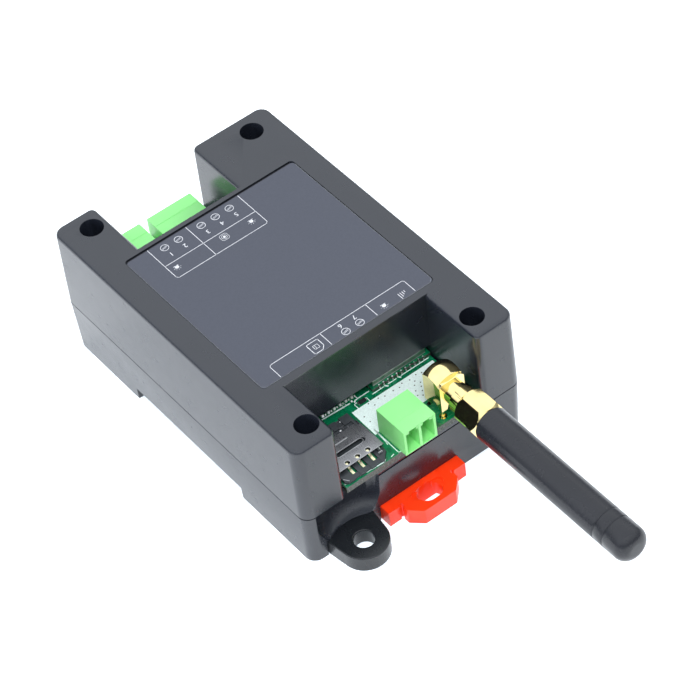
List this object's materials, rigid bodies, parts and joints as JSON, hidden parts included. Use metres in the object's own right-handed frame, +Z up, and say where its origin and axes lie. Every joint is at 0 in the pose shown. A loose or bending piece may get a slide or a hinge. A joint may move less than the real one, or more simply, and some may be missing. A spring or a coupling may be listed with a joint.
{
  "type": "gsm door opener",
  "caption": "Black rail or wall mounted radio relay for doors and gates, with open terminal bays, a SIM holder, a screw-on stub antenna, a red rail clip and mounting ears.",
  "frame": {"origin": "middle of the rail channel below the case, at the level of the foot soles", "axes": "+Z up out of the labelled top, +X along the rail to the antenna side, -Y towards the service end with the antenna"},
  "size_m": [0.058, 0.1539, 0.035],
  "materials": {
    "case_plastic": "black satin moulded plastic",
    "screw_steel": "zinc-plated steel",
    "label_film": "slate grey printed film",
    "ear_plastic": "black gloss moulded plastic",
    "clip_plastic": "red moulded plastic",
    "board_laminate": "green solder-mask laminate with white print",
    "gold_plate": "gold-plated brass",
    "white_insulator": "white fluoropolymer",
    "sleeve_rubber": "black moulded rubber",
    "copper_wire": "copper",
    "sim_plastic": "black moulded plastic",
    "sim_steel": "nickel-plated steel sheet",
    "black_moulding": "black moulded epoxy",
    "shield_steel": "tinned steel sheet",
    "relay_plastic": "blue moulded plastic",
    "can_aluminium": "aluminium can",
    "chip_ceramic": "tan ceramic with tinned ends",
    "header_plastic": "light green moulded plastic",
    "tin_plate": "tinned copper alloy",
    "led_lens": "clear-yellow resin"
  },
  "bodies": {
    "case": {"top_cover": "case_plastic", "base_shell": "case_plastic", "cover_screws": "screw_steel", "label_plate": "label_film", "front_mounting_ear": "ear_plastic", "rear_mounting_ear": "ear_plastic", "main_board": "board_laminate", "board_screws": "screw_steel", "sma_body": "gold_plate", "sma_insulator": "white_insulator", "sma_centre_socket": "gold_plate", "sim_base": "sim_plastic", "sim_contacts": "gold_plate", "reset_switch_case": "black_moulding", "gsm_module_board": "board_laminate", "gsm_module_shield": "shield_steel", "relay": "relay_plastic", "capacitors": "can_aluminium", "power_coil": "black_moulding", "board_chips": "black_moulding", "board_passives": "chip_ceramic", "wired_switch_header": "header_plastic", "power_header": "header_plastic", "relay_header": "header_plastic", "wired_switch_header_pins": "tin_plate", "power_header_pins": "tin_plate", "relay_header_pins": "tin_plate", "signal_led": "led_lens", "run_led": "led_lens", "relay_led": "led_lens"},
    "antenna": {"antenna_ferrule": "gold_plate", "antenna_insulator": "white_insulator", "antenna_pin": "gold_plate", "antenna_sleeve": "sleeve_rubber", "antenna_element": "copper_wire"},
    "antenna_nut": {"antenna_nut": "gold_plate"},
    "rail_clip": {"din_clip": "clip_plastic"},
    "sim_door": {"sim_door": "sim_steel"},
    "reset_button": {"reset_plunger": "black_moulding"}
  },
  "joints": [
    {"name": "antenna_unscrew", "type": "slide", "parent": "case", "child": "antenna", "axis": [0, -1, 0], "range_m": [0, 0.00389]},
    {"name": "antenna_nut_turn", "type": "hinge", "parent": "antenna", "child": "antenna_nut", "pos_m": [0.0119, -0.0515, 0.0229], "axis": [0, -1, 0], "range_deg": [0, 1985]},
    {"name": "clip_slide", "type": "slide", "parent": "case", "child": "rail_clip", "axis": [0, -1, 0], "range_m": [0, 0.004]},
    {"name": "sim_door_flip", "type": "hinge", "parent": "case", "child": "sim_door", "pos_m": [-0.0117, -0.032, 0.01745], "axis": [-1, 0, 0], "range_deg": [0, 90]},
    {"name": "reset_press", "type": "slide", "parent": "case", "child": "reset_button", "axis": [0, 0, -1], "range_m": [0, 0.00025], "stiffness_N_per_m": 2000, "springref_m": -0.0001}
  ],
  "couplings": [
    {"joint": "antenna_nut_turn", "follows": "antenna_unscrew", "rad_per_m": 8905.3}
  ]
}
